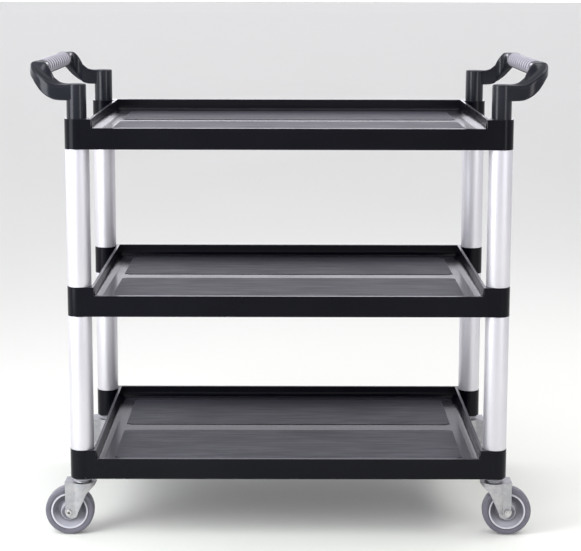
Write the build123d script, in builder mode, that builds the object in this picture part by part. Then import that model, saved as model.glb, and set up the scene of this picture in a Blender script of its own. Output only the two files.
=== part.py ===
from build123d import *

import os

# Food service trolley: three moulded trays on tubular posts, a bridge handle at each
# end and four swivel casters.  Millimetres.  The origin is on the floor under the
# middle of the trolley, +X runs along its length, +Y to its back and +Z up.

# ---------------------------------------------------------------- driving dimensions
post_x = 422.0                  # post axes, half the spacing along the length
post_y = 224.0                  # post axes, half the spacing across the width
shelf_height = 60.0             # corner block height, also the tray's side wall height
shelf_pitch = 338.0             # height from one shelf to the next
bottom_shelf_z = 121.5          # underside of the bottom shelf's corner blocks

# trays
block_r = 24.5                  # corner block
tray_half_x = 397.0             # outside of the side walls
tray_half_y = 246.0             # outside of the front and back walls
tray_inner_x = 391.5            # inside of the side walls at their top
tray_inner_y = 240.0            # inside of the front and back walls at their top
tray_depth = 26.0               # side wall top down to the floor
wall_draft = 4.0                # degrees
cove_r = 14.0                   # between wall and floor
floor_thickness = 4.0
lip_drop = 17.7                 # how far the front wall stands below the other three
web_depth = 11.6                # web between a corner block and the tray, front to back
tray_corner_r = 6.0
panel_rise = 0.9                # textured floor panels stand proud of the smooth strips
panel_half_x = 358.0
panel_near_y = 21.0             # edge beside the centre strip
panel_far_y = 215.0             # edge beside the front or back wall
panel_chamfer = 10.0
rib_pitch_x = 97.5              # lattice of ribs under the floor
rib_pitch_y = 96.0
rib_thickness = 3.0
pockets_x = 8
pockets_y = 5

# posts and the spigots that hold them
tube_r = 24.0
tube_wall = 1.5
spigot_r = 22.3
spigot_bore_r = 18.0
spigot_length = 28.0
block_bore_depth = 16.0         # how far a spigot's bore goes on into its block
tube_chamfer = 0.4

# handles and grips
leg_r = 19.75
leg_top_z = 926.0
leg_round = 2.5
leg_spigot_r = 16.8
leg_spigot_length = 38.0
socket_r = 17.0
socket_depth = 40.0
arm_width = 30.0
arm_height = 31.6
arm_round = 12.0
arm_y = 227.0                   # centre line of an arm where it leaves its leg
arm_z = 910.0
bend_start_x = 450.0            # an arm starts to rise and turn in here
bend_reach = 37.0
bar_x = 501.0                   # centre line of the crossbar
bar_z = 953.5
bar_half_length = 185.0
bar_reach = 20.0
grip_half_length = 155.0
grip_core_r = 11.5
grip_r = 14.6
grip_open_drop = 11.0           # the grip is open below this depth under the bar's centre
grip_rib_r = 16.2
grip_rib_width = 17.0
grip_rib_pitch = 28.0
grip_ribs = 11

# casters, in their own frame: swivel axis at zero, the wheel trails towards -X
trail = 27.0
wheel_r = 50.0
flange_r = 20.0
flange_thickness = 2.0
stem_r = 6.0
stem_length = 38.0
stem_tip_gap = 2.0
stem_hole_r = 6.6
stem_clearance = 0.05
seal_r = 20.5
seal_bore_r = 13.0
seal_height = 3.2
seal_round = 1.0
dome_r = 18.0
dome_height = 4.0
dome_taper = 35.0
swivel_gap = 0.3
crown_r = 27.0
crown_thickness = 2.7
crown_lip = 1.2
fork_half_width = 21.0
sheet_thickness = 2.5
fork_back_x = -34.5
cheek_round_x = -21.5           # centre of a cheek's rounded lower end
cheek_round_r = 13.0
cheek_knee_x = 10.0
cheek_knee_z = 91.0
cheek_shoulder_drop = 5.0
rivet_r = 9.0
rivet_height = 2.6
rivet_taper = 40.0
ball_r = 1.45
ball_count = 16
ball_ring_r = 9.6

nut_pocket_z = 18.0             # insert nut above the block's underside
nut_across_flats = 19.0
nut_height = 10.0
nut_bore_r = 6.1

axle_r = 4.0
axle_head_r = 7.0
axle_head_height = 3.4
axle_socket_r = 2.6
axle_socket_depth = 3.0
axle_end = 2.0                  # bolt end that shows beyond its nut
axle_nut_flats = 13.0
axle_nut_height = 5.5
nut_corner_r = 7.4
nut_taper = 8.0
head_taper = 20.0
thread_chamfer = 0.6
sleeve_r = 6.0
bush_r = 9.0
running_clearance = 0.05
boss_r = 17.0
boss_half_length = 17.4
boss_round = 2.0
dish_width = 9.0                # from the boss out to where the web is thinnest
rim_r = 38.5
rim_face_r = 34.5
rim_half_width = 13.0
web_half_width = 5.5
tread_half_width = 14.5
tread_round = 6.0
tread_seat = 0.4                # how far the tread stands proud of the rim's face
tread_crown = 0.8
shoulder_lean = 0.29            # how far the middle of a shoulder's arc lies inside its corner

# ---------------------------------------------------------------- derived sizes
middle_shelf_z = bottom_shelf_z + shelf_pitch
top_shelf_z = middle_shelf_z + shelf_pitch
corner_sides = {"front_left": (-1, -1), "front_right": (1, -1), "back_left": (-1, 1), "back_right": (1, 1)}
flange_z = bottom_shelf_z - flange_thickness
dome_top_z = flange_z - seal_height - swivel_gap
crown_top_z = dome_top_z - dome_height
crown_bottom_z = crown_top_z - crown_thickness
sleeve_half_length = fork_half_width - sheet_thickness
wheel_z = wheel_r

os.makedirs("parts", exist_ok=True)


def save(part, name):
    """Labels a finished piece and writes its STEP file."""
    part.label = name
    export_step(part, "parts/" + name + ".step")


# ---------------------------------------------------------------- shelves
def build_shelf(base_z, spigots_up, spigots_down, handle_sockets, stem_holes):
    """One moulded tray with its four corner blocks; the posts slide over its spigots."""
    top_z = base_z + shelf_height
    floor_z = top_z - tray_depth
    lip_z = top_z - lip_drop
    pocket_height = floor_z - floor_thickness - base_z
    with BuildPart() as shelf:
        # outer block of the tray
        with BuildSketch(Plane.XY.offset(base_z)):
            RectangleRounded(2 * tray_half_x, 2 * tray_half_y, tray_corner_r)
        extrude(amount=shelf_height)
        # load space: its drafted walls run into the floor in a cove
        with BuildSketch(Plane.XY.offset(top_z)):
            Rectangle(2 * tray_inner_x, 2 * tray_inner_y)
        extrude(amount=-tray_depth, taper=wall_draft, mode=Mode.SUBTRACT)
        floor_edges = shelf.edges().filter_by_position(Axis.Z, floor_z - 0.1, floor_z + 0.1)
        fillet(floor_edges, cove_r)
        # corner blocks, and the thin web that ties each one to the tray
        with BuildSketch(Plane.XY.offset(base_z)):
            with GridLocations(2 * post_x, 2 * post_y, 2, 2):
                Circle(block_r)
            with GridLocations(post_x + tray_inner_x, 2 * tray_half_y - web_depth, 2, 2):
                Rectangle(post_x - tray_inner_x, web_depth)
        extrude(amount=shelf_height)
        # filling between a block and the side wall, lower than both
        with BuildSketch(Plane.XY.offset(base_z)):
            with GridLocations(2 * tray_half_x + 2, 2 * post_y, 2, 2):
                Rectangle(block_r / 2, block_r)
        extrude(amount=shelf_height - tray_depth)
        # the front wall is a low lip between the side walls
        with BuildSketch(Plane.XY.offset(lip_z)):
            with Locations((0, -tray_half_y)):
                Rectangle(2 * tray_inner_x, 2 * web_depth)
        extrude(amount=lip_drop, mode=Mode.SUBTRACT)
        # textured floor panels, one each side of the smooth centre strip
        with BuildSketch(Plane.XY.offset(floor_z)) as panels:
            with GridLocations(0, panel_near_y + panel_far_y, 1, 2):
                Rectangle(2 * panel_half_x, panel_far_y - panel_near_y)
            chamfer(panels.vertices(), panel_chamfer)
        extrude(amount=panel_rise)
        # pockets under the floor leave a lattice of ribs
        with BuildSketch(Plane.XY.offset(base_z)):
            with GridLocations(rib_pitch_x, rib_pitch_y, pockets_x, pockets_y):
                Rectangle(rib_pitch_x - rib_thickness, rib_pitch_y - rib_thickness)
        extrude(amount=pocket_height, mode=Mode.SUBTRACT)
        # spigots for the posts, hollow like the blocks behind them
        if spigots_up:
            with BuildSketch(Plane.XY.offset(top_z)):
                with GridLocations(2 * post_x, 2 * post_y, 2, 2):
                    Circle(spigot_r)
            extrude(amount=spigot_length)
            with Locations(Plane.XY.offset(top_z + spigot_length)):
                with GridLocations(2 * post_x, 2 * post_y, 2, 2):
                    Hole(spigot_bore_r, spigot_length + block_bore_depth)
        if spigots_down:
            with BuildSketch(Plane.XY.offset(base_z)):
                with GridLocations(2 * post_x, 2 * post_y, 2, 2):
                    Circle(spigot_r)
            extrude(amount=-spigot_length)
            with BuildSketch(Plane.XY.offset(base_z - spigot_length)):
                with GridLocations(2 * post_x, 2 * post_y, 2, 2):
                    Circle(spigot_bore_r)
            extrude(amount=spigot_length + block_bore_depth / 2, mode=Mode.SUBTRACT)
        # sockets for the handle legs
        if handle_sockets:
            with BuildSketch(Plane.XY.offset(top_z)):
                with GridLocations(2 * post_x, 2 * post_y, 2, 2):
                    Circle(socket_r)
            extrude(amount=-socket_depth, mode=Mode.SUBTRACT)
        # stem holes, each with its insert nut moulded in
        if stem_holes:
            with BuildSketch(Plane.XY.offset(base_z)):
                with GridLocations(2 * post_x, 2 * post_y, 2, 2):
                    Circle(stem_hole_r)
            extrude(amount=stem_length, mode=Mode.SUBTRACT)
            with BuildSketch(Plane.XY.offset(base_z + nut_pocket_z)):
                with GridLocations(2 * post_x, 2 * post_y, 2, 2):
                    RegularPolygon(nut_across_flats / 2, 6, major_radius=False)
            extrude(amount=nut_height, mode=Mode.SUBTRACT)
    return shelf.part


save(build_shelf(bottom_shelf_z, True, False, False, True), "bottom_shelf")
save(build_shelf(middle_shelf_z, True, True, False, False), "middle_shelf")
save(build_shelf(top_shelf_z, False, True, True, False), "top_shelf")

with BuildPart() as insert_nuts:
    with BuildSketch(Plane.XY.offset(bottom_shelf_z + nut_pocket_z)):
        with GridLocations(2 * post_x, 2 * post_y, 2, 2):
            RegularPolygon(nut_across_flats / 2, 6, major_radius=False)
            Circle(nut_bore_r, mode=Mode.SUBTRACT)
    extrude(amount=nut_height)
save(insert_nuts.part, "stem_insert_nuts")


# ---------------------------------------------------------------- posts
def build_post(axis_x, axis_y, base_z):
    """One length of aluminium tube, standing from one shelf's blocks to the next."""
    with BuildPart() as post:
        with BuildSketch(Plane.XY.offset(base_z)):
            with Locations((axis_x, axis_y)):
                Circle(tube_r)
                Circle(tube_r - tube_wall, mode=Mode.SUBTRACT)
        extrude(amount=shelf_pitch - shelf_height)
        chamfer(post.edges().filter_by(GeomType.CIRCLE), tube_chamfer)
    return post.part


for tier, shelf_below_z in (("lower", bottom_shelf_z), ("upper", middle_shelf_z)):
    for corner, (side_x, side_y) in corner_sides.items():
        post = build_post(side_x * post_x, side_y * post_y, shelf_below_z + shelf_height)
        save(post, tier + "_post_" + corner)


# ---------------------------------------------------------------- handles and grips
def build_handle(side):
    """The bridge handle at one end: two legs, two rising arms and the crossbar."""
    leg_base_z = top_shelf_z + shelf_height
    front_start = (side * post_x, -arm_y, arm_z)
    front_bend = (side * bend_start_x, -arm_y, arm_z)
    front_bar = (side * bar_x, -bar_half_length, bar_z)
    back_start = (side * post_x, arm_y, arm_z)
    back_bend = (side * bend_start_x, arm_y, arm_z)
    back_bar = (side * bar_x, bar_half_length, bar_z)
    with BuildPart() as handle:
        # crossbar and arms, one rounded section along the whole bridge
        with BuildLine() as bridge:
            Line(front_start, front_bend)
            Bezier(
                front_bend,
                (side * (bend_start_x + bend_reach), -arm_y, arm_z),
                (side * bar_x, -bar_half_length - bar_reach, bar_z),
                front_bar,
            )
            Line(front_bar, back_bar)
            Bezier(
                back_bar,
                (side * bar_x, bar_half_length + bar_reach, bar_z),
                (side * (bend_start_x + bend_reach), arm_y, arm_z),
                back_bend,
            )
            Line(back_bend, back_start)
        with BuildSketch(Plane(origin=front_start, x_dir=(0, 1, 0), z_dir=(side, 0, 0))):
            RectangleRounded(arm_width, arm_height, arm_round)
        sweep(path=bridge.wires()[0])
        # seat for the grip, leaving a strip of the bar showing underneath
        with BuildSketch(Plane.XZ.offset(-grip_half_length)):
            with Locations((side * bar_x, bar_z)):
                Rectangle(2 * arm_height, 2 * arm_height)
                Circle(grip_core_r, mode=Mode.SUBTRACT)
            with Locations((side * bar_x, bar_z - grip_open_drop - arm_height)):
                Rectangle(2 * arm_height, 2 * arm_height, mode=Mode.SUBTRACT)
        extrude(amount=2 * grip_half_length, mode=Mode.SUBTRACT)
        # legs, each with the spigot that plugs into its socket
        with BuildSketch(Plane.XY.offset(leg_base_z)):
            with Locations((side * post_x, -post_y), (side * post_x, post_y)):
                Circle(leg_r)
        extrude(amount=leg_top_z - leg_base_z)
        fillet(handle.edges().filter_by(GeomType.CIRCLE).group_by(Axis.Z)[-1], leg_round)
        with BuildSketch(Plane.XY.offset(leg_base_z - leg_spigot_length)):
            with Locations((side * post_x, -post_y), (side * post_x, post_y)):
                Circle(leg_spigot_r)
        extrude(amount=leg_spigot_length)
    return handle.part


def build_grip(side):
    """The soft ribbed grip on one crossbar, open underneath."""
    with BuildPart() as grip:
        with BuildSketch(Plane.XZ.offset(-grip_half_length)):
            with Locations((side * bar_x, bar_z)):
                Circle(grip_r)
        extrude(amount=2 * grip_half_length)
        for rib in range(grip_ribs):
            rib_y = (rib - (grip_ribs - 1) / 2) * grip_rib_pitch
            with BuildSketch(Plane.XZ.offset(-rib_y - grip_rib_width / 2)):
                with Locations((side * bar_x, bar_z)):
                    Circle(grip_rib_r)
                with Locations((side * bar_x, bar_z - grip_rib_r)):
                    Rectangle(2 * grip_rib_r, 2 * grip_rib_r, mode=Mode.SUBTRACT)
            extrude(amount=grip_rib_width)
        with BuildSketch(Plane.XZ.offset(-grip_half_length)):
            with Locations((side * bar_x, bar_z)):
                Circle(grip_core_r)
            with Locations((side * bar_x, bar_z - grip_open_drop - grip_rib_r)):
                Rectangle(2 * grip_rib_r, 2 * grip_rib_r)
        extrude(amount=2 * grip_half_length, mode=Mode.SUBTRACT)
    return grip.part


for end, side in (("left", -1), ("right", 1)):
    save(build_handle(side), end + "_handle")
    save(build_grip(side), end + "_grip")


# ---------------------------------------------------------------- casters
def build_stem(level):
    """Threaded stem, its thrust flange and the riveted kingpin below it, in one piece."""
    with BuildPart() as stem:
        with BuildSketch(level.offset(flange_z)):
            Circle(flange_r)
        extrude(amount=flange_thickness)
        with BuildSketch(level.offset(crown_bottom_z - swivel_gap)):
            Circle(stem_r)
        extrude(amount=bottom_shelf_z + stem_length - stem_tip_gap - crown_bottom_z)
        with BuildSketch(level.offset(crown_bottom_z - swivel_gap)):
            Circle(rivet_r)
        extrude(amount=-rivet_height, taper=rivet_taper)
    return stem.part


def build_seal(level):
    """Dust seal around the ball race, under the flange."""
    with BuildPart() as seal:
        with BuildSketch(level.offset(flange_z)):
            Circle(seal_r)
            Circle(seal_bore_r, mode=Mode.SUBTRACT)
        extrude(amount=-seal_height)
        bottom_edges = seal.edges().filter_by(GeomType.CIRCLE).group_by(Axis.Z)[0]
        fillet(bottom_edges.sort_by(SortBy.LENGTH)[-1], seal_round)
    return seal.part


def build_balls(level):
    """The ring of balls that carries the load from the fork's dome to the flange."""
    with BuildPart() as balls:
        with Locations(level.offset((flange_z + dome_top_z) / 2)):
            with PolarLocations(ball_ring_r, ball_count):
                Sphere(ball_r)
    return balls.part


def build_fork(level, side_view):
    """Pressed fork: crown with its raceway dome, two cheeks and the skirt between them."""
    bottom_z = wheel_z - cheek_round_r
    knee_x = cheek_round_x + cheek_round_r
    shoulder_z = crown_top_z - cheek_shoulder_drop
    with BuildPart() as fork:
        # cheeks and skirt: the wall of a blunt U in plan
        with BuildSketch(level.offset(bottom_z)):
            Circle(crown_r)
            with Locations((fork_back_x / 2, 0)):
                Rectangle(-fork_back_x, 2 * fork_half_width)
            Circle(crown_r - sheet_thickness, mode=Mode.SUBTRACT)
            with Locations((fork_back_x, 0)):
                Rectangle(-2 * fork_back_x, 2 * sleeve_half_length, mode=Mode.SUBTRACT)
        extrude(amount=crown_top_z - bottom_z)
        # their outline from the side: rounded at the axle, raking up to the crown
        with BuildSketch(side_view):
            with BuildLine():
                Polyline(
                    (fork_back_x, wheel_z),
                    (fork_back_x, crown_top_z),
                    (crown_r, crown_top_z),
                    (crown_r, shoulder_z),
                    (cheek_knee_x, cheek_knee_z),
                    (knee_x, wheel_z),
                )
                ThreePointArc((knee_x, wheel_z), (cheek_round_x, bottom_z), (fork_back_x, wheel_z))
            make_face()
        extrude(amount=crown_r, both=True, mode=Mode.INTERSECT)
        # crown plate, a little wider than the cheeks, and the raceway dome on it
        with BuildSketch(level.offset(crown_bottom_z)):
            Circle(crown_r + crown_lip)
            with Locations(((fork_back_x - crown_lip) / 2, 0)):
                Rectangle(crown_lip - fork_back_x, 2 * (fork_half_width + crown_lip))
        extrude(amount=crown_thickness)
        with BuildSketch(level.offset(crown_top_z)):
            Circle(dome_r)
        extrude(amount=dome_height, taper=dome_taper)
        with BuildSketch(level.offset(crown_bottom_z)):
            Circle(stem_r + stem_clearance)
        extrude(amount=crown_thickness + dome_height, mode=Mode.SUBTRACT)
        # axle holes
        with BuildSketch(side_view):
            with Locations((-trail, wheel_z)):
                Circle(axle_r)
        extrude(amount=crown_r, both=True, mode=Mode.SUBTRACT)
    return fork.part


def build_axle_bolt(side_view):
    """Axle bolt: socket head outside one cheek, its end through the nut on the other."""
    head_y = fork_half_width
    end_y = fork_half_width + axle_nut_height + axle_end
    with BuildPart() as bolt:
        with BuildSketch(side_view.offset(-end_y)):
            with Locations((-trail, wheel_z)):
                Circle(axle_r)
        extrude(amount=end_y + head_y)
        chamfer(bolt.edges().filter_by(GeomType.CIRCLE), thread_chamfer)
        with BuildSketch(side_view.offset(head_y)):
            with Locations((-trail, wheel_z)):
                Circle(axle_head_r)
        extrude(amount=axle_head_height, taper=head_taper)
        with BuildSketch(side_view.offset(head_y + axle_head_height)):
            with Locations((-trail, wheel_z)):
                RegularPolygon(axle_socket_r, 6, major_radius=False)
        extrude(amount=-axle_socket_depth, mode=Mode.SUBTRACT)
    return bolt.part


def build_axle_nut(side_view):
    """Hexagon nut on the axle bolt, with its corners turned off."""
    with BuildPart() as nut:
        with BuildSketch(side_view.offset(-fork_half_width)):
            with Locations((-trail, wheel_z)):
                RegularPolygon(axle_nut_flats / 2, 6, major_radius=False)
        extrude(amount=-axle_nut_height)
        with BuildSketch(side_view.offset(-fork_half_width)):
            with Locations((-trail, wheel_z)):
                Circle(nut_corner_r)
        extrude(amount=-axle_nut_height, taper=nut_taper, mode=Mode.INTERSECT)
        with BuildSketch(side_view.offset(-fork_half_width)):
            with Locations((-trail, wheel_z)):
                Circle(axle_r)
        extrude(amount=-axle_nut_height, mode=Mode.SUBTRACT)
    return nut.part


def build_ring(side_view, inner_r, outer_r, half_length):
    """A plain sleeve around the axle."""
    with BuildPart() as ring:
        with BuildSketch(side_view):
            with Locations((-trail, wheel_z)):
                Circle(outer_r)
                Circle(inner_r, mode=Mode.SUBTRACT)
        extrude(amount=half_length, both=True)
    return ring.part


def build_hub(axle_plane):
    """Moulded wheel centre: boss, dished web and the rim that carries the tread."""
    with BuildPart() as hub:
        with BuildSketch(axle_plane):
            with BuildLine():
                for face in (-1, 1):
                    Line((face * boss_half_length, bush_r), (face * boss_half_length, boss_r - boss_round))
                    ThreePointArc(
                        (face * boss_half_length, boss_r - boss_round),
                        (face * web_half_width, boss_r + dish_width),
                        (face * rim_half_width, rim_face_r),
                    )
                    Line((face * rim_half_width, rim_face_r), (face * rim_half_width, rim_r))
                Line((-boss_half_length, bush_r), (boss_half_length, bush_r))
                Line((-rim_half_width, rim_r), (rim_half_width, rim_r))
            make_face()
        revolve(axis=Axis(axle_plane.origin, axle_plane.x_dir))
    return hub.part


def build_tread(axle_plane):
    """Soft tread moulded around the rim, with rounded shoulders and a crowned face."""
    shoulder_y = tread_half_width - tread_round * shoulder_lean
    shoulder_r = wheel_r - tread_round * shoulder_lean
    with BuildPart() as tread:
        with BuildSketch(axle_plane):
            with BuildLine():
                Line((-rim_half_width - tread_seat, rim_r), (rim_half_width + tread_seat, rim_r))
                for face in (-1, 1):
                    seat_y = face * (rim_half_width + tread_seat)
                    Line((seat_y, rim_r), (face * tread_half_width, wheel_r - tread_round))
                    ThreePointArc(
                        (face * tread_half_width, wheel_r - tread_round),
                        (face * shoulder_y, shoulder_r),
                        (face * (tread_half_width - tread_round), wheel_r - tread_crown),
                    )
                ThreePointArc(
                    (tread_round - tread_half_width, wheel_r - tread_crown),
                    (0, wheel_r),
                    (tread_half_width - tread_round, wheel_r - tread_crown),
                )
            make_face()
        revolve(axis=Axis(axle_plane.origin, axle_plane.x_dir))
    return tread.part


for corner, (side_x, side_y) in corner_sides.items():
    # the caster trails outwards, so the pair on the right is turned half round
    forward = Vector(-side_x, 0, 0)
    across = Vector(0, -side_x, 0)
    swivel = Vector(side_x * post_x, side_y * post_y, 0)
    level = Plane(origin=swivel, x_dir=forward, z_dir=(0, 0, 1))
    side_view = Plane(origin=swivel, x_dir=forward, z_dir=-across)
    axle_plane = Plane(origin=swivel - forward * trail + Vector(0, 0, wheel_z), x_dir=across, z_dir=forward)
    save(build_stem(level), "caster_stem_" + corner)
    save(build_seal(level), "swivel_seal_" + corner)
    save(build_balls(level), "swivel_balls_" + corner)
    save(build_fork(level, side_view), "caster_fork_" + corner)
    save(build_axle_bolt(side_view), "axle_bolt_" + corner)
    save(build_axle_nut(side_view), "axle_nut_" + corner)
    sleeve = build_ring(side_view, axle_r, sleeve_r, sleeve_half_length)
    bush = build_ring(side_view, sleeve_r + running_clearance, bush_r, boss_half_length)
    save(sleeve, "axle_sleeve_" + corner)
    save(bush, "wheel_bush_" + corner)
    save(build_hub(axle_plane), "wheel_hub_" + corner)
    save(build_tread(axle_plane), "wheel_tread_" + corner)
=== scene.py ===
"""Food service trolley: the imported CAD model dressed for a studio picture.

Meshes are worked out in millimetres and made in metres; materials, camera and lights are
in metres.  X runs along the trolley, Y from front to back and Z up.
"""

import math

import bmesh
import bpy
from mathutils import Matrix, Vector


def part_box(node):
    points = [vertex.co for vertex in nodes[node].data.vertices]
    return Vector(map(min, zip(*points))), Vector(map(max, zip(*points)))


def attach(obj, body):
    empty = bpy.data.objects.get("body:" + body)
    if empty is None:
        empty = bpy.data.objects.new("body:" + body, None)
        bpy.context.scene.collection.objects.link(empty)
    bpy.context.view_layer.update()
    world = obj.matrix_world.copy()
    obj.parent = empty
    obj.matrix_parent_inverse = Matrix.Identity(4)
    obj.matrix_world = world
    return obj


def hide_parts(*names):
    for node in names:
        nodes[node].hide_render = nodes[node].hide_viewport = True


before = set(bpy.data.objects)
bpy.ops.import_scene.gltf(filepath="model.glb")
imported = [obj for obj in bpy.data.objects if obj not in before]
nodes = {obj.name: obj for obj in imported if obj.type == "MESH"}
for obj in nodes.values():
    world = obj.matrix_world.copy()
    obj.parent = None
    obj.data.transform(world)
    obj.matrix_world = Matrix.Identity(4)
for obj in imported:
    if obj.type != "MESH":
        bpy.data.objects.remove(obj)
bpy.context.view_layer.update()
scene = bpy.context.scene

MM = 0.001
CORNERS = {"front_left": (-1, -1), "front_right": (1, -1), "back_left": (-1, 1), "back_right": (1, 1)}
ENDS = {"left": -1, "right": 1}


def middle(node):
    """Centre of a CAD node's box, in millimetres to one decimal."""
    low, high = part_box(node)
    return Vector([round(value / MM, 1) for value in (low + high) / 2])


POST = middle("upper_post_back_right")          # centre line of a post and of a handle's leg
WHEEL = middle("wheel_tread_back_right")
GRIP_CREST_R = 16.2                             # top of a rib, from the crossbar's centre line
BAR_X = middle("right_grip").x                  # crossbar centre line
BAR_Z = round(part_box("right_grip")[1].z / MM - GRIP_CREST_R, 1)


# ------------------------------------------------------------------ shader helpers
class Shader:
    """A node tree under construction: every helper returns the socket it makes."""

    def __init__(self, name):
        self.material = bpy.data.materials.new("finish_" + name)
        self.material.use_nodes = True
        self.tree = self.material.node_tree
        self.surface = self.tree.nodes["Principled BSDF"]
        self.place = self.tree.nodes.new("ShaderNodeTexCoord").outputs["Object"]

    def set(self, socket, value):
        """Links a socket to another one, or gives it a constant."""
        if isinstance(value, bpy.types.NodeSocket):
            self.tree.links.new(value, socket)
        else:
            socket.default_value = value

    def put(self, kind, inputs=None, **settings):
        """Adds a node with its inputs and settings, and returns the node."""
        made = self.tree.nodes.new("ShaderNode" + kind)
        for key, value in settings.items():
            setattr(made, key, value)
        for key, value in (inputs or {}).items():
            self.set(made.inputs[key], value)
        return made

    def axes(self):
        """Object coordinates as three separate sockets."""
        return self.put("SeparateXYZ", {0: self.place}).outputs

    def facing_up(self):
        """The surface normal's height: 1 faces up, 0 is upright, -1 faces down."""
        return self.put("SeparateXYZ", {0: self.put("NewGeometry").outputs["Normal"]}).outputs[2]

    def stretched(self, x, y, z):
        """Object coordinates scaled along each axis."""
        return self.put("Mapping", {"Vector": self.place, "Scale": (x, y, z)}).outputs[0]

    def noise(self, scale, detail=3.0, rough=0.5, vector=None):
        """Smooth noise from 0 to 1."""
        sockets = {"Vector": vector or self.place, "Scale": scale, "Detail": detail, "Roughness": rough}
        return self.put("TexNoise", sockets).outputs["Fac"]

    def cells(self, scale, output="Distance"):
        """Cell noise: the distance from a cell's middle, or a colour for each cell."""
        return self.put("TexVoronoi", {"Vector": self.place, "Scale": scale}).outputs[output]

    def span(self, value, low, high, to_low, to_high):
        """Maps low..high of a value to to_low..to_high, clamped."""
        sockets = {"Value": value, "From Min": low, "From Max": high, "To Min": to_low, "To Max": to_high}
        return self.put("MapRange", sockets).outputs[0]

    def past(self, value, limit, fade):
        """0 up to a limit and 1 from limit + fade on."""
        return self.span(value, limit, limit + fade, 0, 1)

    def within(self, value, limit, fade):
        """1 up to a limit and 0 from limit + fade on."""
        return self.span(value, limit, limit + fade, 1, 0)

    def vary(self, noise, low, high, spread=0.2):
        """Spreads the middle of a noise's values, 0.5 give or take the spread, over low..high."""
        return self.span(noise, 0.5 - spread, 0.5 + spread, low, high)

    def maths(self, operation, first, second=0.0):
        """One maths node on sockets or numbers."""
        return self.put("Math", {0: first, 1: second}, operation=operation).outputs[0]

    def add(self, first, second):
        """Sum of two values."""
        return self.maths("ADD", first, second)

    def times(self, first, second):
        """Product of two values."""
        return self.maths("MULTIPLY", first, second)

    def blend(self, share, first, second):
        """Mixes two colours."""
        mix = self.put("Mix", data_type="RGBA")
        factor, colour_a, colour_b = mix.inputs[0], mix.inputs[6], mix.inputs[7]
        self.set(factor, share)
        self.set(colour_a, first)
        self.set(colour_b, second)
        return mix.outputs[2]

    def mottle(self, noise, first, second, spread=0.2):
        """Two colours, mixed by the middle of a noise's values."""
        return self.blend(self.vary(noise, 0, 1, spread), first, second)

    def from_line(self, centre_x, centre_z):
        """Distance in metres from the nearer of two lines along Y, which are given in millimetres."""
        axes = self.axes()
        out = self.maths("SUBTRACT", self.maths("ABSOLUTE", axes[0]), centre_x * MM)
        up = self.maths("SUBTRACT", axes[2], centre_z * MM)
        return self.maths("SQRT", self.add(self.times(out, out), self.times(up, up)))

    def bump(self, height, depth, strength):
        """A normal for relief that is depth metres deep."""
        return self.put("Bump", {"Height": height, "Distance": depth, "Strength": strength}).outputs[0]

    def finish(self, colour, roughness, normal, **constants):
        """Links what varies, sets what is the same all over and returns the material."""
        self.set(self.surface.inputs["Base Color"], colour)
        self.set(self.surface.inputs["Roughness"], roughness)
        self.set(self.surface.inputs["Normal"], normal)
        for key, value in constants.items():
            self.surface.inputs[key].default_value = value
        return self.material


def rgb(red, green, blue):
    """An opaque colour."""
    return (red, green, blue, 1.0)


def grey(level, warm=0.0):
    """A near-grey: warm above zero leans to yellow, below zero to blue."""
    return rgb(level * (1 + warm), level, level * (1 - warm))


# ------------------------------------------------------------------ materials
PANEL_END = 357.0 * MM          # half length of a tray's floor panels
PANEL_FAR = 214.0 * MM          # their edge beside the front or back wall
PANEL_NEAR = 21.2 * MM          # their edge beside the smooth strip along the middle
EDGE_FADE = 0.8 * MM            # how soft the edge of a painted area is
SEAL_SHADE_Z = 118.2 * MM       # painted shade under the flange starts at this height
GROOVE_FLOOR_R = 13.4 * MM      # down in a grip's grooves
GROOVE_FLANK_R = 15.2 * MM      # high on their flanks
GRIP_TIP = 150.5 * MM           # the last millimetres of a grip lie in shadow
BEAD_R = (33.6 * MM, 37.0 * MM)     # raised bead round a wheel centre's rim
BOSS_R = (15.0 * MM, 17.2 * MM)     # shoulder of its boss


def shelf_plastic():
    """Dark moulded plastic: smooth rims and strips, and dull grained panels in the tray floors; faces that
    look up get a painted lighter colour standing for light from above, and the panels' lighter streaks are
    partly grain and partly painted reflection.
    """
    s = Shader("shelf_plastic")
    along_x, along_y, _ = s.axes()
    length = s.maths("ABSOLUTE", along_x)
    width = s.maths("ABSOLUTE", along_y)
    level = s.span(s.facing_up(), 0.90, 0.98, 0, 1)
    panel = s.times(s.within(length, PANEL_END, EDGE_FADE), s.within(width, PANEL_FAR, EDGE_FADE))
    panel = s.times(panel, s.past(width, PANEL_NEAR, EDGE_FADE))
    panel = s.times(panel, level)
    cloud = s.noise(7.0, 4.0)
    lines = s.noise(1.0, 2.0, vector=s.stretched(6.0, 260.0, 6.0))
    bands = s.noise(1.0, 4.0, 0.6, s.stretched(9.0, 75.0, 6.0))
    tone = s.mottle(cloud, rgb(0.0022, 0.0024, 0.0044), rgb(0.0036, 0.0038, 0.0066))
    # painted light: faces that look up are given a lighter colour, as if lit from above
    tone = s.blend(level, tone, rgb(0.037, 0.036, 0.044))
    # lighter streaks in the panels: partly grain, partly painted reflection
    grain_and_painted_reflection = s.add(s.vary(lines, 0.1, 0.5, 0.15), s.vary(bands, 0.5, 0, 0.15))
    tone = s.blend(s.times(panel, grain_and_painted_reflection), tone, rgb(0.054, 0.052, 0.068))
    smooth = s.vary(cloud, 0.17, 0.24)
    dull = s.add(s.vary(lines, 0.42, 0.52, 0.15), s.vary(bands, -0.045, 0.045, 0.15))
    rough = s.add(s.times(panel, dull), s.times(s.maths("SUBTRACT", 1.0, panel), smooth))
    relief = s.add(s.times(panel, s.cells(620.0)), s.times(s.noise(900.0, 2.0), 0.16))
    return s.finish(tone, rough, s.bump(relief, 0.00016, 0.45), IOR=1.22)


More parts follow.
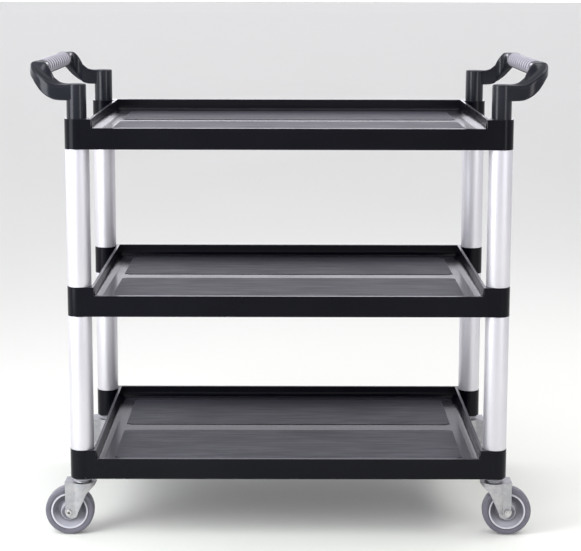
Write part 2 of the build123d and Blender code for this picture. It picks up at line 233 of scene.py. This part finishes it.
def handle_plastic():
    """Black glass-filled plastic: a satin skin, rougher on tops and undersides."""
    s = Shader("handle_plastic")
    cloud = s.noise(24.0, 4.0)
    skin = s.add(s.noise(1400.0, 2.0), s.times(s.noise(160.0, 2.0), 0.6))
    facing = s.facing_up()
    under = s.span(facing, -0.45, -0.10, 0.62, 0)
    over = s.span(facing, 0.50, 0.85, 0, 0.30)
    tone = s.mottle(cloud, rgb(0.0036, 0.0046, 0.0090), rgb(0.0060, 0.0072, 0.0130), 0.15)
    rough = s.add(s.vary(cloud, 0.18, 0.24), s.add(under, over))
    return s.finish(tone, rough, s.bump(skin, 0.00008, 0.30), IOR=1.38)


def grip_rubber():
    """Pale grey soft-touch rubber, with painted shade on the flanks of its grooves, less of it down on
    their floors, and painted shadow at its ends.
    """
    s = Shader("grip_rubber")
    cloud = s.noise(30.0, 4.0)
    radius = s.from_line(BAR_X, BAR_Z)
    along = s.maths("ABSOLUTE", s.axes()[1])
    # painted shade: dark on the groove flanks, half as dark on the groove floors, and painted shadow over
    # the grip's last millimetres
    flank = s.span(radius, GROOVE_FLANK_R, GROOVE_FLANK_R + 1.0 * MM, 0.92, 0)
    floor_share = s.span(radius, GROOVE_FLOOR_R, GROOVE_FLOOR_R + 1.0 * MM, 0.45, 1)
    tip = s.span(along, GRIP_TIP, GRIP_TIP + 1.5 * MM, 0, 0.9)
    shade = s.maths("MAXIMUM", s.times(flank, floor_share), tip)
    tone = s.mottle(cloud, rgb(0.44, 0.426, 0.478), rgb(0.52, 0.505, 0.56))
    tone = s.blend(shade, tone, rgb(0.07, 0.068, 0.08))
    return s.finish(tone, s.vary(cloud, 0.50, 0.62), s.bump(s.cells(900.0), 0.00010, 0.5), IOR=1.45)


def post_aluminium():
    """Satin anodised tube, drawn along its length."""
    s = Shader("post_aluminium")
    drawn = s.noise(1.0, 3.0, vector=s.stretched(900.0, 900.0, 5.0))
    cloud = s.noise(5.0, 3.0)
    tone = s.mottle(cloud, rgb(0.645, 0.635, 0.67), rgb(0.70, 0.69, 0.72))
    rough = s.add(s.vary(drawn, 0.48, 0.56), s.vary(cloud, -0.02, 0.02))
    return s.finish(tone, rough, s.bump(drawn, 0.00003, 0.35), Metallic=1.0)


def zinc_steel():
    """Zinc-plated pressed steel: faint spangle, passivation tint and fine scratches."""
    s = Shader("zinc_steel")
    flake = s.put("SeparateColor", {0: s.cells(170.0, "Color")}).outputs[0]
    cloud = s.noise(45.0, 4.0)
    scratch = s.noise(1.0, 4.0, 0.7, s.stretched(260.0, 260.0, 1500.0))
    tone = s.mottle(cloud, rgb(0.41, 0.413, 0.43), rgb(0.475, 0.465, 0.47), 0.15)
    tone = s.blend(s.span(flake, 0, 1, 0, 0.45), tone, rgb(0.33, 0.337, 0.355))
    rough = s.add(s.span(flake, 0, 1, 0.42, 0.50), s.vary(scratch, -0.03, 0.05, 0.15))
    return s.finish(tone, rough, s.bump(s.add(flake, scratch), 0.00004, 0.25), Metallic=1.0)


def fastener_steel():
    """Bright plated bolt steel with turning marks, and painted shade down in the sockets and other
    crevices.
    """
    s = Shader("fastener_steel")
    cloud = s.noise(320.0, 4.0)
    open_share = s.put("AmbientOcclusion", {"Distance": 4.0 * MM}).outputs["AO"]
    tone = s.mottle(cloud, grey(0.50, 0.01), grey(0.62, 0.015))
    # painted shade: the colour goes near-black where ambient occlusion finds a crevice close by
    tone = s.blend(s.span(open_share, 0.35, 0.75, 1, 0), tone, grey(0.02))
    return s.finish(tone, s.vary(cloud, 0.34, 0.46), s.bump(cloud, 0.00003, 0.3), Metallic=1.0)


def seal_rubber():
    """Dusty blue-grey seal, painted near-black at its top as shade in the gap under the flange."""
    s = Shader("seal_rubber")
    dust = s.noise(240.0, 4.0)
    painted_gap_shade = s.past(s.axes()[2], SEAL_SHADE_Z, 0.6 * MM)
    tone = s.blend(s.span(dust, 0.45, 0.75, 0, 1), rgb(0.34, 0.35, 0.385), rgb(0.44, 0.45, 0.48))
    # painted shade: the band of the seal just under the flange is near-black
    tone = s.blend(painted_gap_shade, tone, grey(0.012))
    return s.finish(tone, s.vary(dust, 0.36, 0.50), s.bump(dust, 0.00006, 0.4), IOR=1.5)


def tread_rubber():
    """Grey thermoplastic rubber, with scuffs that are paler than the rest."""
    s = Shader("tread_rubber")
    cloud = s.noise(34.0, 5.0, 0.6)
    scuff = s.noise(120.0, 5.0, 0.7)
    tone = s.mottle(cloud, rgb(0.106, 0.103, 0.128), rgb(0.140, 0.136, 0.165))
    tone = s.blend(s.span(scuff, 0.58, 0.72, 0, 0.35), tone, rgb(0.27, 0.265, 0.28))
    skin = s.add(s.noise(1100.0, 2.0), s.times(scuff, 0.6))
    return s.finish(tone, s.vary(cloud, 0.40, 0.52), s.bump(skin, 0.00008, 0.35), IOR=1.48)


def hub_plastic():
    """Grey polypropylene wheel centre with a pale bead round its rim: painted light makes faces that look
    up pale, painted shade makes faces that look down dark, and the boss's shoulder carries a painted
    highlight.
    """
    s = Shader("hub_plastic")
    cloud = s.noise(28.0, 4.0)
    facing = s.facing_up()
    radius = s.from_line(WHEEL.x, WHEEL.z)
    bead = s.times(s.past(radius, BEAD_R[0], EDGE_FADE), s.within(radius, BEAD_R[1], EDGE_FADE))
    boss = s.times(s.past(radius, BOSS_R[0], EDGE_FADE), s.within(radius, BOSS_R[1], EDGE_FADE))
    # the bead is a pale ring of its own colour; the boss's shoulder gets a painted highlight at 0.6
    pale_bead_and_boss_highlight = s.maths("MAXIMUM", bead, s.times(boss, 0.6))
    tone = s.mottle(cloud, rgb(0.105, 0.103, 0.125), rgb(0.140, 0.137, 0.160))
    # painted light: faces that look up are made pale
    tone = s.blend(s.span(facing, 0.05, 0.55, 0, 0.85), tone, rgb(0.40, 0.40, 0.44))
    # painted shade: faces that look down are made dark
    tone = s.blend(s.span(facing, -0.45, -0.05, 0.5, 0), tone, rgb(0.05, 0.05, 0.06))
    tone = s.blend(pale_bead_and_boss_highlight, tone, rgb(0.56, 0.555, 0.60))
    return s.finish(tone, s.vary(cloud, 0.26, 0.36), s.bump(s.noise(1200.0, 2.0), 0.00006, 0.3), IOR=1.48)


def bush_nylon():
    """Off-white bearing nylon."""
    s = Shader("bush_nylon")
    cloud = s.noise(60.0, 4.0)
    tone = s.mottle(cloud, grey(0.62, 0.03), grey(0.72, 0.04))
    return s.finish(tone, s.vary(cloud, 0.36, 0.50), s.bump(cloud, 0.00005, 0.3), IOR=1.53)


def floor_paint():
    """Pale studio floor with the faintest mottling."""
    s = Shader("studio_floor")
    cloud = s.noise(1.3, 5.0)
    tone = s.mottle(cloud, rgb(0.87, 0.88, 0.81), rgb(0.885, 0.895, 0.825))
    return s.finish(tone, s.vary(cloud, 0.55, 0.65), s.bump(s.noise(420.0, 2.0), 0.0001, 0.2))


MAKERS = (
    shelf_plastic,
    handle_plastic,
    grip_rubber,
    post_aluminium,
    zinc_steel,
    fastener_steel,
    seal_rubber,
    tread_rubber,
    hub_plastic,
    bush_nylon,
    floor_paint,
)
MATERIALS = {make.__name__: make() for make in MAKERS}
for node in nodes.values():
    for holder in node.material_slots:
        holder.material = MATERIALS[holder.material.name.split(".")[0]]


# ------------------------------------------------------------------ CAD nodes that stay
def soften(node, width, segments=2):
    """Welds a CAD mesh's split faces and rounds its sharp edges."""
    weld = node.modifiers.new("weld", "WELD")
    weld.merge_threshold = 0.01 * MM
    flat = node.modifiers.new("flat", "DECIMATE")
    flat.decimate_type = "DISSOLVE"
    flat.angle_limit = math.radians(1.0)
    bevel = node.modifiers.new("edges", "BEVEL")
    bevel.width = width
    bevel.segments = segments
    bevel.limit_method = "ANGLE"
    bevel.angle_limit = math.radians(32.0)
    shade = node.modifiers.new("shade", "WEIGHTED_NORMAL")
    shade.keep_sharp = False


for tier in ("bottom", "middle", "top"):
    soften(nodes[tier + "_shelf"], 1.0 * MM, 3)
for corner in CORNERS:
    soften(nodes["caster_fork_" + corner], 0.45 * MM)
    soften(nodes["axle_bolt_" + corner], 0.25 * MM)
    soften(nodes["axle_nut_" + corner], 0.25 * MM)


# ------------------------------------------------------------------ mesh helpers
# edges between faces that turn by more than this many degrees stay sharp
SHARP_FROM = {
    "handle_plastic": 34.0,
    "grip_rubber": 50.0,
    "post_aluminium": 30.0,
    "hub_plastic": 34.0,
    "tread_rubber": 50.0,
}


def new_piece(name, verts, faces, slot, body):
    """Makes a piece from vertices in metres and rides it on a body."""
    mesh = bpy.data.meshes.new(name)
    mesh.from_pydata([tuple(v) for v in verts], [], faces)
    mesh.validate()
    mesh.materials.append(MATERIALS[slot])
    piece = bpy.data.objects.new(name, mesh)
    scene.collection.objects.link(piece)
    mesh.shade_smooth()
    mesh.set_sharp_from_angle(angle=math.radians(SHARP_FROM[slot]))
    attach(piece, body)
    return piece


def face_outwards(piece, weld=False):
    """Turns a piece's faces outwards, after joining its doubled points if asked."""
    work = bmesh.new()
    work.from_mesh(piece.data)
    if weld:
        bmesh.ops.remove_doubles(work, verts=work.verts, dist=0.001 * MM)
    bmesh.ops.recalc_face_normals(work, faces=work.faces)
    work.to_mesh(piece.data)
    work.free()


def skin(rings, verts, faces, close_ends=True):
    """Adds a tube of quads through rings of equal length, with its ends capped."""
    start = len(verts)
    count = len(rings[0])
    for ring in rings:
        verts.extend(ring)
    for row in range(len(rings) - 1):
        for k in range(count):
            here = start + row * count + k
            beside = start + row * count + (k + 1) % count
            faces.append((here, beside, beside + count, here + count))
    if close_ends:
        last = start + (len(rings) - 1) * count
        faces.append(tuple(start + k for k in reversed(range(count))))
        faces.append(tuple(last + k for k in range(count)))


def arc(centre_a, centre_b, radius, start, end, steps=6):
    """Points of an arc in a profile, with its angles in degrees from the first axis to the second."""
    points = []
    for k in range(steps + 1):
        angle = math.radians(start + (end - start) * k / steps)
        points.append((centre_a + radius * math.cos(angle), centre_b + radius * math.sin(angle)))
    return points


def turned(profile, count, place):
    """Rings of a turned shape: place(radius, along, angle) says where a profile point goes."""
    rings = []
    for radius, along in profile:
        angles = (2 * math.pi * k / count for k in range(count))
        rings.append([place(radius, along, angle) * MM for angle in angles])
    return rings


def turned_upright(profile, axis_x, axis_y, count):
    """Rings round an upright axis; the profile is (radius, height)."""

    def place(radius, height, angle):
        """A profile point turned to an angle."""
        return Vector((axis_x + radius * math.cos(angle), axis_y + radius * math.sin(angle), height))

    return turned(profile, count, place)


def turned_crosswise(profile, centre, count):
    """Rings round an axle along Y; the profile is (radius, distance from the middle)."""

    def place(radius, across, angle):
        """A profile point turned to an angle."""
        out, up = radius * math.cos(angle), radius * math.sin(angle)
        return Vector((centre.x + out, centre.y + across, centre.z + up))

    return turned(profile, count, place)


def closed_piece(name, rings, slot, body):
    """A piece whose profile is a closed loop, such as a tube or a tyre."""
    verts, faces = [], []
    skin(rings + rings[:1], verts, faces, close_ends=False)
    piece = new_piece(name, verts, faces, slot, body)
    face_outwards(piece, weld=True)
    return piece


def smooth_table(rows, t):
    """Monotone cubic through rows of (t, value, value, ...)."""
    keys = [row[0] for row in rows]
    t = min(max(t, keys[0]), keys[-1])
    i = max(k for k in range(len(keys) - 1) if keys[k] <= t or k == 0)
    span = keys[i + 1] - keys[i]
    f = (t - keys[i]) / span
    out = []
    for column in range(1, len(rows[0])):
        values = [row[column] for row in rows]
        slopes = [(values[k + 1] - values[k]) / (keys[k + 1] - keys[k]) for k in range(len(keys) - 1)]

        def tangent(k):
            """Slope at a row: zero at the ends and where the values turn."""
            if k in (0, len(keys) - 1):
                return 0.0
            a, b = slopes[k - 1], slopes[k]
            return 0.0 if a * b <= 0 else 2 * a * b / (a + b)

        m0, m1 = tangent(i) * span, tangent(i + 1) * span
        out.append(
            values[i] * (2 * f**3 - 3 * f**2 + 1)
            + m0 * (f**3 - 2 * f**2 + f)
            + values[i + 1] * (3 * f**2 - 2 * f**3)
            + m1 * (f**3 - f**2)
        )
    return out


def rounded_loop(corners, arc_points=6, edge_points=3):
    """A closed loop through 2-D corners (across, height, radius), each corner turned into an arc."""
    places = [Vector(corner[:2]) for corner in corners]
    cuts = []
    for k, here in enumerate(places):
        back = places[k - 1] - here
        ahead = places[(k + 1) % len(places)] - here
        half_turn = back.angle(ahead, math.pi) / 2
        reach = corners[k][2] / max(math.tan(half_turn), 1e-6)
        reach = min(reach, 0.49 * back.length, 0.49 * ahead.length)
        start = here + back.normalized() * reach
        end = here + ahead.normalized() * reach
        cuts.append((start, end, math.sin(half_turn)))
    points = []
    for k, (start, end, weight) in enumerate(cuts):
        for j in range(arc_points):
            # a rational quadratic is an exact arc for any turn
            f = j / (arc_points - 1)
            a, b, c = (1 - f) ** 2, 2 * weight * f * (1 - f), f**2
            points.append((start * a + places[k] * b + end * c) / (a + b + c))
        next_start = cuts[(k + 1) % len(cuts)][0]
        for j in range(1, edge_points + 1):
            points.append(end.lerp(next_start, j / (edge_points + 1)))
    return points


def eased(value):
    """Clamps to 0..1 with a smooth start and stop."""
    value = min(max(value, 0.0), 1.0)
    return value * value * (3 - 2 * value)


# ------------------------------------------------------------------ handles
LEG_R = 19.75
LEG_BASE, LEG_TOP, LEG_ROUND = 857.5, 926.0, 2.5
LEG_POINTS = 96                 # round the leg
TURN_X, TURN_Y, TURN_R = 467.0, 192.0, 50.0     # centre and outer radius of the arm's plan corner
GRIP_HALF = 155.0
CORE_R = 11.3                   # the crossbar's core inside the grip
CORE_ARC = (-52, 232, 24)       # start and stop in degrees from outwards over the top, and steps
CORE_STRIP = ((10.6, 11.2), (9.2, 13.6), (6.4, 15.1))   # (out, down) outline of the strip below it
CORE_HALF = GRIP_HALF + 2.0     # the core's ends lie inside the arms
CORE_STEPS = 8

# An upright section of the arm at stations along its outer face.  Station: -45 at the
# leg to 0 where the plan corner starts, 0..90 degrees round it, then on along the bar.
# Each corner of the section is (inwards from the outer face, height, radius):
# outer bottom, outer band top, scoop, rim outside, rim inside, inner bottom.
ARM_SECTIONS = (
    (-45, 0, 894.2, 3.5, 0, 925.7, 2.2, 9, 925.7, 2, 19, 925.7, 2, 30, 925.7, 2.5, 30, 894.2, 3.0),
    (-26, 0, 894.2, 3.5, 0, 925.2, 2.4, 9, 925.6, 3, 21, 926.0, 2, 30, 926.2, 2.5, 30, 894.2, 3.0),
    (-13, 0, 894.6, 3.5, 0, 925.6, 3.2, 10, 925.2, 6, 25, 928.6, 2, 30, 928.9, 2.2, 30, 894.8, 2.5),
    (-5, 0, 895.4, 3.5, 0, 927.4, 4.5, 12, 926.4, 8, 26.5, 934.2, 2, 30, 934.6, 2.2, 30, 896.4, 2.5),
    (4, 0, 898.0, 3.5, 0, 930.6, 5.5, 14, 929.0, 10, 26.5, 942.2, 2, 30, 942.8, 2.2, 30, 900.0, 2.2),
    (15, 0, 902.6, 3.5, 0, 936.0, 6.0, 14, 933.8, 11, 26.5, 950.2, 2, 30, 950.8, 2.2, 30, 905.0, 2.0),
    (30, 0, 912.0, 3.6, 0, 943.8, 6.0, 14, 941.0, 11, 26.5, 958.0, 2.2, 30, 958.6, 2.4, 30, 912.5, 2.0),
    (45, 0, 924.2, 4.5, 0, 951.4, 5.5, 13, 947.8, 10, 25.5, 963.6, 3.0, 30, 964.2, 3.4, 30, 918.8, 2.2),
    (60, 0, 934.4, 6.5, 0, 957.6, 6.5, 12.5, 954.6, 9, 23.0, 966.8, 5, 30.2, 967.3, 6.0, 30, 924.6, 3.0),
    (75, 0, 937.6, 9, 0, 962.4, 10.5, 12.5, 964.0, 8, 19.0, 967.8, 8, 30.4, 968.1, 11.0, 30.4, 930.6, 5.0),
    (90, 0, 938, 12, 0, 968, 14.8, 15, 968, 0.1, 15.4, 968, 0.1, 30.4, 968, 14.8, 30.4, 936.2, 9.0),
    (102, 0, 938.2, 13.5, 0, 968, 14.8, 15, 968, 0.1, 15.4, 968, 0.1, 30.4, 968, 14.8, 30.4, 938, 12.0),
    (127, 0, 938.2, 13.5, 0, 968, 14.8, 15, 968, 0.1, 15.4, 968, 0.1, 30.4, 968, 14.8, 30.4, 938.2, 13.5),
)
ARM_STATIONS = [-45 + 2.5 * k for k in range(18)]       # from the leg to the plan corner
ARM_STATIONS += [3 * k for k in range(43)]              # round it and on along the bar
ARM_STATIONS += [90 + TURN_Y - GRIP_HALF - 0.2]         # to just short of the grip


def arm_place(station, inwards):
    """Plan position of a point of a section, for the front arm of the right handle."""
    if station <= 0:
        return TURN_X + station, -TURN_Y - TURN_R + inwards
    if station <= 90:
        angle = math.radians(station)
        radius = TURN_R - inwards
        return TURN_X + radius * math.sin(angle), -TURN_Y - radius * math.cos(angle)
    return TURN_X + TURN_R - inwards, -TURN_Y + (station - 90)


def arm_ring(station, side, half):
    """A section of an arm as a closed ring; side and half, 1 or -1, mirror it into place."""
    row = smooth_table(ARM_SECTIONS, station)
    corners = [row[k : k + 3] for k in range(0, len(row), 3)]
    ring = []
    for inwards, height in rounded_loop(corners):
        x, y = arm_place(station, inwards)
        ring.append(Vector((side * x, -half * y, height)) * MM)
    return ring


def build_handle(end, side):
    """Two legs, two arms and the crossbar's core, as solids that run into each other."""
    verts, faces = [], []
    leg_profile = [(LEG_R, LEG_BASE)]
    leg_profile += arc(LEG_R - LEG_ROUND, LEG_TOP - LEG_ROUND, LEG_ROUND, 0, 90)
    for half in (1, -1):
        skin([arm_ring(station, side, half) for station in ARM_STATIONS], verts, faces)
        skin(turned_upright(leg_profile, side * POST.x, half * POST.y, LEG_POINTS), verts, faces)
    outline = arc(BAR_X, BAR_Z, CORE_R, *CORE_ARC)
    outline += [(BAR_X - out, BAR_Z - down) for out, down in CORE_STRIP]
    outline += [(BAR_X + out, BAR_Z - down) for out, down in reversed(CORE_STRIP)]
    rings = []
    for step in range(CORE_STEPS + 1):
        y = CORE_HALF * (2 * step / CORE_STEPS - 1)
        rings.append([Vector((side * x, y, z)) * MM for x, z in outline])
    skin(rings, verts, faces)
    piece = new_piece(end + "_handle_body", verts, faces, "handle_plastic", "root")
    face_outwards(piece)
    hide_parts(end + "_handle")


# ------------------------------------------------------------------ grips
RIBS = 11                       # pitches along a grip
RIB_PITCH = 28.0
RIB_ROWS = 16                   # rings of points in a pitch
GROOVE_DEPTH = 2.8
GROOVE_FLOOR = 0.242            # flat floor of a groove, as a share of the pitch
GROOVE_FLANKS = 0.34            # its two flanks together, as a share of the pitch
RIB_START, RIB_FADE = -0.30, 0.35   # ribs grow from this sine of the angle, over this much more
SLEEVE_R = 15.8                 # smooth lower part of the sleeve
SLEEVE_BORE = 11.6
SLEEVE_ARC = (-46, 226)         # start and stop in degrees from outwards over the top
OUTER_STEPS, INNER_STEPS = 56, 28
SLEEVE_HALF = GRIP_HALF - 0.3
END_GAP = 6.0                   # the sleeve's ends close down over this length
END_DROP = 3.0
END_R = 12.4


def sleeve_radius(angle, y):
    """Outer radius of a grip's sleeve at an angle round the bar and a place along it."""
    from_crest = abs((y / RIB_PITCH) % 1.0 - 0.5) * 2
    land = eased((1 - from_crest - GROOVE_FLOOR) / GROOVE_FLANKS)
    top = eased((math.sin(angle) - RIB_START) / RIB_FADE)
    radius = SLEEVE_R + (GRIP_CREST_R - SLEEVE_R) * top - GROOVE_DEPTH * top * (1 - land)
    closing = min((SLEEVE_HALF - abs(y)) / END_GAP, 1.0)
    end_drop = END_DROP * (1 - math.sqrt(1 - (1 - closing) ** 2))
    return max(radius - end_drop, END_R)


def build_grip(end, side):
    """Soft sleeve round the crossbar, open below, ribbed across its upper half."""
    rows = RIB_ROWS * RIBS
    places = [RIB_PITCH * RIBS * (row / rows - 0.5) for row in range(rows + 1)]
    tips = [SLEEVE_HALF - END_GAP * (1 - math.cos(math.radians(15 * step))) for step in range(7)]
    places += tips + [-tip for tip in tips]
    start, stop = SLEEVE_ARC
    rings = []
    for y in sorted(set(places)):
        ring = []
        for k in range(OUTER_STEPS + 1):
            angle = math.radians(start + (stop - start) * k / OUTER_STEPS)
            radius = sleeve_radius(angle, y)
            ring.append((BAR_X + radius * math.cos(angle), BAR_Z + radius * math.sin(angle)))
        ring += arc(BAR_X, BAR_Z, SLEEVE_BORE, stop, start, INNER_STEPS)
        rings.append([Vector((side * x, y, z)) * MM for x, z in ring])
    verts, faces = [], []
    skin(rings, verts, faces)
    piece = new_piece(end + "_grip_sleeve", verts, faces, "grip_rubber", "root")
    face_outwards(piece)
    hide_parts(end + "_grip")


for end, side in ENDS.items():
    build_handle(end, side)
    build_grip(end, side)


# ------------------------------------------------------------------ posts
TUBE_WALL = 1.5
TUBE_LIP = 0.5                  # rounding of a tube's cut ends
TUBE_POINTS = 128


def build_post(name):
    """Tube with slightly rounded ends, in the place of a CAD post."""
    low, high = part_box(name)
    low, high = low / MM, high / MM
    centre_x, centre_y = (low.x + high.x) / 2, (low.y + high.y) / 2
    outer = (high.x - low.x) / 2
    inner = outer - TUBE_WALL
    profile = [(inner, low.z)]
    profile += arc(outer - TUBE_LIP, low.z + TUBE_LIP, TUBE_LIP, -90, 0, 4)
    profile += arc(outer - TUBE_LIP, high.z - TUBE_LIP, TUBE_LIP, 0, 90, 4)
    profile += [(inner, high.z)]
    rings = turned_upright(profile, centre_x, centre_y, TUBE_POINTS)
    piece = closed_piece(name + "_tube", rings, "post_aluminium", "root")
    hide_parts(name)


for storey in ("lower", "upper"):
    for corner in CORNERS:
        build_post(storey + "_post_" + corner)


# ------------------------------------------------------------------ wheels
# Half profiles (radius, distance from the middle), which are mirrored to the other face.
# Centre: bore, boss, dished web, raised bead and the lip that holds the tyre.
HUB_FACE = [(9.0, 16.6), (9.8, 17.4), (13.6, 17.4), (14.2, 16.9), (15.0, 16.9)]
HUB_FACE += arc(15.4, 15.3, 1.6, 90, 10)
HUB_FACE += [(17.3, 11.5), (17.5, 8.0), (18.2, 6.0), (19.6, 5.0), (22.0, 4.9), (24.4, 5.3)]
HUB_FACE += [(26.6, 6.3), (29.0, 8.0), (31.4, 9.9), (32.9, 10.9), (33.7, 11.5)]
HUB_FACE += arc(35.7, 11.8, 1.75, 170, 90)
HUB_FACE += [(36.6, 13.4)]
HUB_FACE += arc(37.2, 12.3, 1.0, 80, 10)
HUB_FACE += [(38.4, 10.8)]
# Tyre: a thin collar round the bead, full shoulders and a crowned face.
TYRE_FACE = [(38.6, 12.6), (39.4, 13.5), (41.0, 13.9), (43.0, 14.3)]
TYRE_FACE += arc(44.2, 9.1, 5.4, 78, 20, 8)
TYRE_FACE += [(49.6, 7.6), (49.85, 4.0)]
TYRE_CROWN = [(50.0, 0.0)]
WHEEL_POINTS = 120


def mirrored(face):
    """The other face's half of a wheel profile."""
    return [(radius, -across) for radius, across in reversed(face)]


for corner, (side_x, side_y) in CORNERS.items():
    centre = Vector((side_x * WHEEL.x, side_y * WHEEL.y, WHEEL.z))
    body = "wheel_" + corner
    rings = turned_crosswise(HUB_FACE + mirrored(HUB_FACE), centre, WHEEL_POINTS)
    piece = closed_piece("wheel_centre_" + corner, rings, "hub_plastic", body)
    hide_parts("wheel_hub_" + corner)
    rings = turned_crosswise(TYRE_FACE + TYRE_CROWN + mirrored(TYRE_FACE), centre, WHEEL_POINTS)
    piece = closed_piece("wheel_tyre_" + corner, rings, "tread_rubber", body)
    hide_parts("wheel_tread_" + corner)


# ------------------------------------------------------------------ camera, floor and light
# the camera was fitted to the photograph; angles in radians
CAMERA_PLACE = (-0.00441, -3.22308, 1.14284)
CAMERA_TURN = -0.0024563
CAMERA_DIP = 0.14188            # below the horizon
CAMERA_ROLL = 0.0022179
camera = bpy.data.objects.new("camera", bpy.data.cameras.new("camera"))
scene.collection.objects.link(camera)
camera.matrix_world = (
    Matrix.Translation(CAMERA_PLACE)
    @ Matrix.Rotation(CAMERA_TURN, 4, "Z")
    @ Matrix.Rotation(math.pi / 2 - CAMERA_DIP, 4, "X")
    @ Matrix.Rotation(CAMERA_ROLL, 4, "Z")
)
camera.data.sensor_width = 36.0
camera.data.lens = 93.884
camera.data.shift_y = -0.14716
camera.data.clip_end = 200.0
scene.camera = camera

FLOOR_HALF = 60.0
floor_mesh = bpy.data.meshes.new("studio_floor")
floor_corners = [(x * FLOOR_HALF, y * FLOOR_HALF, 0) for x, y in ((-1, -1), (1, -1), (1, 1), (-1, 1))]
floor_mesh.from_pydata(floor_corners, [], [(0, 1, 2, 3)])
floor_mesh.materials.append(MATERIALS["floor_paint"])
floor = bpy.data.objects.new("studio_floor", floor_mesh)
scene.collection.objects.link(floor)


def softbox(name, place, aim, width, height, glow, tint=(1.0, 1.0, 1.0)):
    """A rectangular area light at a place, turned to shine at aim; power grows with its area."""
    data = bpy.data.lights.new(name, "AREA")
    data.shape = "RECTANGLE"
    data.size = width
    data.size_y = height
    data.energy = glow * math.pi * width * height
    data.color = tint
    lamp = bpy.data.objects.new(name, data)
    lamp.location = place
    lamp.rotation_euler = (Vector(place) - Vector(aim)).to_track_quat("Z", "Y").to_euler()
    lamp.visible_camera = False
    scene.collection.objects.link(lamp)


softbox("key_light", (-1.10, -0.85, 1.13), (0, -0.2, 0.73), 0.65, 1.84, 5.2, (0.92, 0.955, 1.0))
softbox("side_light", (-1.7, 0.25, 1.05), (0, 0, 1.0), 1.6, 2.0, 0.40)
softbox("fill_light", (1.9, -2.1, 1.2), (0, 0, 0.9), 0.7, 1.8, 3.2)
softbox("wash_light", (1.7, 0.2, 2.3), (1.2, -0.3, 0.0), 1.2, 1.2, 4.0)
softbox("top_light", (0.0, -0.2, 3.4), (0, 0, 0.5), 2.4, 2.0, 1.5)

world = bpy.data.worlds.new("studio_world")
scene.world = world
world.use_nodes = True
sky = world.node_tree
direction = sky.nodes.new("ShaderNodeSeparateXYZ")
sky.links.new(sky.nodes.new("ShaderNodeTexCoord").outputs["Generated"], direction.inputs[0])


def sky_ramp(axis, start, stop, low, high):
    """Goes from low to high as one axis of the sky's direction goes from start to stop."""
    ramp = sky.nodes.new("ShaderNodeMapRange")
    ramp.interpolation_type = "SMOOTHSTEP"
    sky.links.new(direction.outputs[axis], ramp.inputs["Value"])
    ramp.inputs["From Min"].default_value = start
    ramp.inputs["From Max"].default_value = stop
    ramp.inputs["To Min"].default_value = low
    ramp.inputs["To Max"].default_value = high
    return ramp.outputs[0]


def sky_maths(operation, first, second):
    """A maths node on two sockets."""
    step = sky.nodes.new("ShaderNodeMath")
    step.operation = operation
    sky.links.new(first, step.inputs[0])
    sky.links.new(second, step.inputs[1])
    return step.outputs[0]


# a white backdrop stands behind, up to about 30 degrees; the room is dimmer on the right
backdrop = sky_maths("MULTIPLY", sky_ramp(1, 0.3, 0.9, 0, 1.75), sky_ramp(2, 0.02, 0.52, 1, 0))
backdrop = sky_maths("MULTIPLY", backdrop, sky_ramp(0, 0.18, 0.5, 1, 0))
room = sky_ramp(0, -0.8, 0.6, 0.92, 0.62)
room = sky_maths("MULTIPLY", room, sky_ramp(2, 0.0, 0.42, 1.8, 1.0))
background = sky.nodes["Background"]
sky.links.new(sky_maths("ADD", backdrop, room), background.inputs["Strength"])
background.inputs["Color"].default_value = (0.935, 0.925, 1.0, 1.0)
scene.view_settings.view_transform = "Standard"
